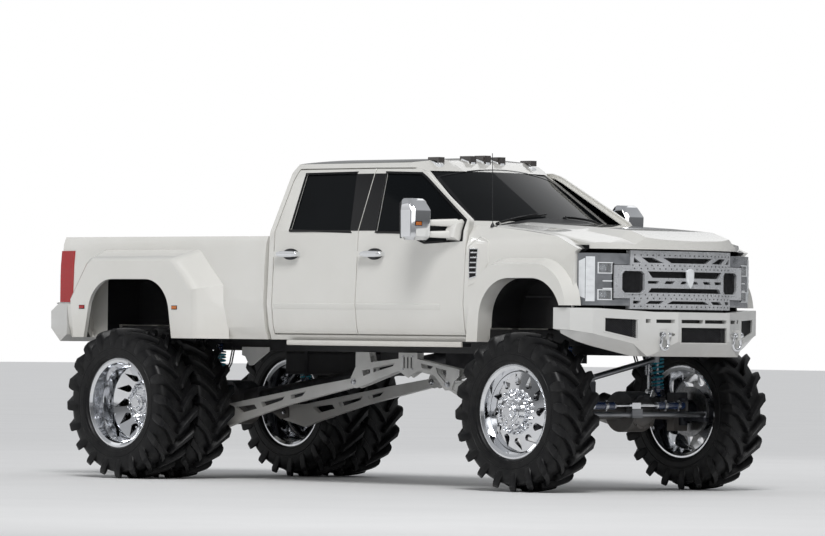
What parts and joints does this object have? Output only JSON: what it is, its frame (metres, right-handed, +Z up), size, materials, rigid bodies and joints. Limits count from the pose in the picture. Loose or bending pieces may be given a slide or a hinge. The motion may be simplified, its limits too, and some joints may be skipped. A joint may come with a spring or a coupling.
{
  "type": "dually pickup truck",
  "caption": "Crew-cab pickup truck with twin rear wheels, raised on long link suspension and tall lugged tractor tyres; doors, hood, tailgate, steering and wheels move.",
  "frame": {"origin": "on the ground, below the centre of the bounding box", "axes": "+X to the front, +Y to the left, +Z up"},
  "size_m": [6.733, 2.814, 2.72],
  "materials": {
    "body_paint": "gloss pearl white",
    "bumper_paint": "satin white plate",
    "frame_paint": "satin black",
    "link_paint": "satin white",
    "axle_paint": "satin grey",
    "knuckle_iron": "dark cast",
    "damper_paint": "dark blue",
    "coil_paint": "blue green",
    "shaft_steel": "dark steel",
    "engine_iron": "dark",
    "tank_plastic": "black",
    "chrome": "polished",
    "tyre": "black, slightly glossy",
    "tinted_glass": "near-black tint",
    "grille_paint": "satin silver",
    "lamp_clear": "clear lens over grey",
    "lamp_red": "red lens",
    "lamp_white": "clear lens",
    "seat_leather": "dark",
    "dash_plastic": "dark grey",
    "radiator_black": "black"
  },
  "bodies": {
    "chassis": {"bed": "body_paint", "cab": "body_paint", "dashboard": "dash_plastic", "driveline": "shaft_steel", "engine": "engine_iron", "fender_left": "body_paint", "fender_right": "body_paint", "frame_rails": "frame_paint", "front_axle": "axle_paint", "front_bumper": "bumper_paint", "front_coilovers": "coil_paint", "front_links": "link_paint", "fuel_tank": "tank_plastic", "grille": "grille_paint", "headlamps": "lamp_clear", "link_arches": "link_paint", "radiator": "radiator_black", "rear_axle": "axle_paint", "rear_bumper": "bumper_paint", "rear_coilovers": "coil_paint", "rear_glass": "tinted_glass", "rear_links": "link_paint", "roof_lights": "lamp_white", "running_boards": "frame_paint", "seats": "seat_leather", "steering_damper_barrels": "damper_paint", "tail_lamps": "lamp_red", "track_bar": "shaft_steel", "windshield": "tinted_glass"},
    "left_knuckle": {"knuckle_left": "knuckle_iron"},
    "right_knuckle": {"knuckle_right": "knuckle_iron"},
    "tie_rod_body": {"tie_rod": "shaft_steel"},
    "damper_rods": {"steering_damper_rods": "chrome"},
    "front_left_wheel": {"wheel_front_left": "chrome", "tyre_front_left": "tyre"},
    "front_right_wheel": {"wheel_front_right": "chrome", "tyre_front_right": "tyre"},
    "rear_left_wheels": {"wheel_rear_left": "chrome", "tyre_rear_left_outer": "tyre", "tyre_rear_left_inner": "tyre"},
    "rear_right_wheels": {"wheel_rear_right": "chrome", "tyre_rear_right_outer": "tyre", "tyre_rear_right_inner": "tyre"},
    "front_left_door": {"door_front_left": "body_paint", "glass_front_left": "tinted_glass", "mirror_left": "chrome"},
    "front_right_door": {"door_front_right": "body_paint", "glass_front_right": "tinted_glass", "mirror_right": "chrome"},
    "rear_left_door": {"door_rear_left": "body_paint", "glass_rear_left": "tinted_glass"},
    "rear_right_door": {"door_rear_right": "body_paint", "glass_rear_right": "tinted_glass"},
    "hood_panel": {"hood": "body_paint"},
    "tailgate_panel": {"tailgate": "body_paint"}
  },
  "joints": [
    {"name": "steer_left", "type": "hinge", "parent": "chassis", "child": "left_knuckle", "pos_m": [2.3665, 0.83, 0.637], "axis": [0, 0, 1], "range_deg": [-24, 24]},
    {"name": "steer_right", "type": "hinge", "parent": "chassis", "child": "right_knuckle", "pos_m": [2.3665, -0.83, 0.637], "axis": [0, 0, 1], "range_deg": [-24, 24]},
    {"name": "tie_rod_swing", "type": "hinge", "parent": "left_knuckle", "child": "tie_rod_body", "pos_m": [2.6165, 0.83, 0.618], "axis": [0, 0, 1], "range_deg": [-24, 24]},
    {"name": "damper_slide", "type": "slide", "parent": "chassis", "child": "damper_rods", "axis": [0, 1, 0], "range_m": [-0.105, 0.105]},
    {"name": "front_left_wheel_spin", "type": "hinge", "parent": "left_knuckle", "child": "front_left_wheel", "pos_m": [2.3665, 0.977, 0.637], "axis": [0, 1, 0], "continuous": true},
    {"name": "front_right_wheel_spin", "type": "hinge", "parent": "right_knuckle", "child": "front_right_wheel", "pos_m": [2.3665, -0.977, 0.637], "axis": [0, 1, 0], "continuous": true},
    {"name": "rear_left_wheels_spin", "type": "hinge", "parent": "chassis", "child": "rear_left_wheels", "pos_m": [-2.0835, 0.9935, 0.637], "axis": [0, 1, 0], "continuous": true},
    {"name": "rear_right_wheels_spin", "type": "hinge", "parent": "chassis", "child": "rear_right_wheels", "pos_m": [-2.0835, -0.9935, 0.637], "axis": [0, 1, 0], "continuous": true},
    {"name": "front_left_door_hinge", "type": "hinge", "parent": "chassis", "child": "front_left_door", "pos_m": [1.6645, 1.016, 1.9], "axis": [0, 0, -1], "range_deg": [0, 65]},
    {"name": "front_right_door_hinge", "type": "hinge", "parent": "chassis", "child": "front_right_door", "pos_m": [1.6645, -1.016, 1.9], "axis": [0, 0, 1], "range_deg": [0, 65]},
    {"name": "rear_left_door_hinge", "type": "hinge", "parent": "chassis", "child": "rear_left_door", "pos_m": [0.4115, 1.016, 1.9], "axis": [0, 0, -1], "range_deg": [0, 70]},
    {"name": "rear_right_door_hinge", "type": "hinge", "parent": "chassis", "child": "rear_right_door", "pos_m": [0.4115, -1.016, 1.9], "axis": [0, 0, 1], "range_deg": [0, 70]},
    {"name": "hood_hinge", "type": "hinge", "parent": "chassis", "child": "hood_panel", "pos_m": [1.8515, 0, 2.12], "axis": [0, -1, 0], "range_deg": [0, 50]},
    {"name": "tailgate_hinge", "type": "hinge", "parent": "chassis", "child": "tailgate_panel", "pos_m": [-3.2135, 0, 1.516], "axis": [0, -1, 0], "range_deg": [0, 90]}
  ],
  "couplings": [
    {"joint": "steer_right", "follows": "steer_left", "ratio": 1},
    {"joint": "tie_rod_swing", "follows": "steer_left", "ratio": -1},
    {"joint": "damper_slide", "follows": "steer_left", "m_per_rad": 0.25}
  ]
}
